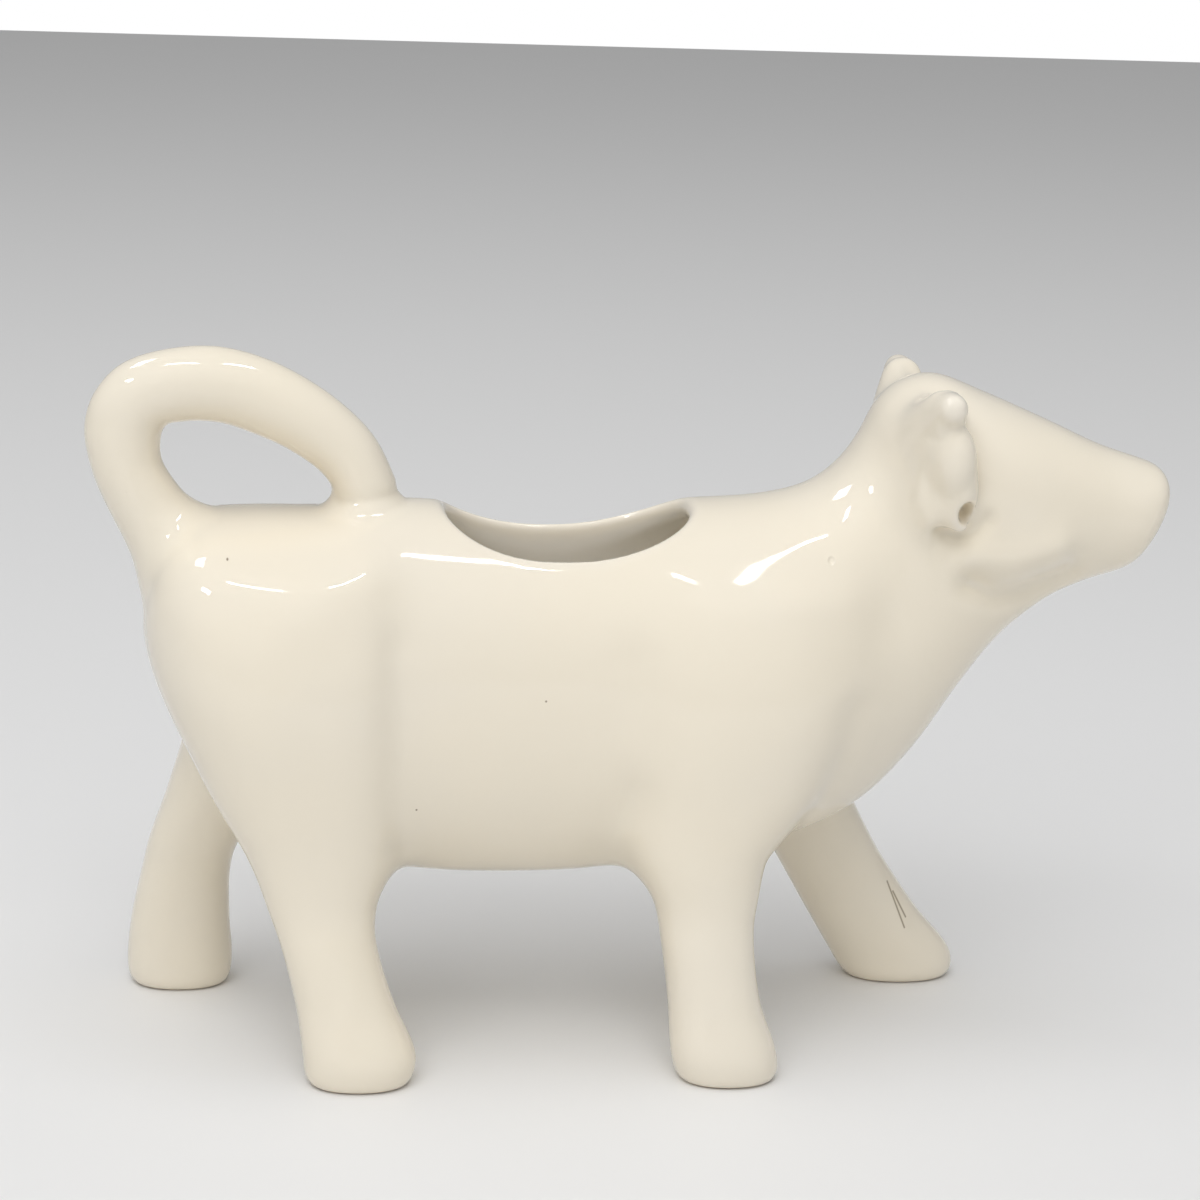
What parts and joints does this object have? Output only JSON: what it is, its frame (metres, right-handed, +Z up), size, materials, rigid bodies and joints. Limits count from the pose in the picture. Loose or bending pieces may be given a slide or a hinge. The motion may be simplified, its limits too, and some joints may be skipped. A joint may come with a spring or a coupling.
{
  "type": "cow creamer",
  "caption": "White glazed ceramic creamer in the shape of a standing cow, filled through its back, pouring from its muzzle, with its tail looped forward as the handle.",
  "frame": {"origin": "centre of the bounding box's bottom face, on the surface that the feet stand on", "axes": "+X towards the cow's head, +Y towards the cow's left side, +Z up"},
  "size_m": [0.165, 0.057, 0.107],
  "materials": {
    "glaze": "high-gloss creamy white glaze over white clay"
  },
  "bodies": {
    "root": {"body_casting": "glaze", "tail_handle": "glaze", "right_hind_leg": "glaze", "left_hind_leg": "glaze", "right_front_leg": "glaze", "left_front_leg": "glaze", "right_ear": "glaze", "left_ear": "glaze", "right_horn": "glaze", "left_horn": "glaze"}
  },
  "joints": []
}
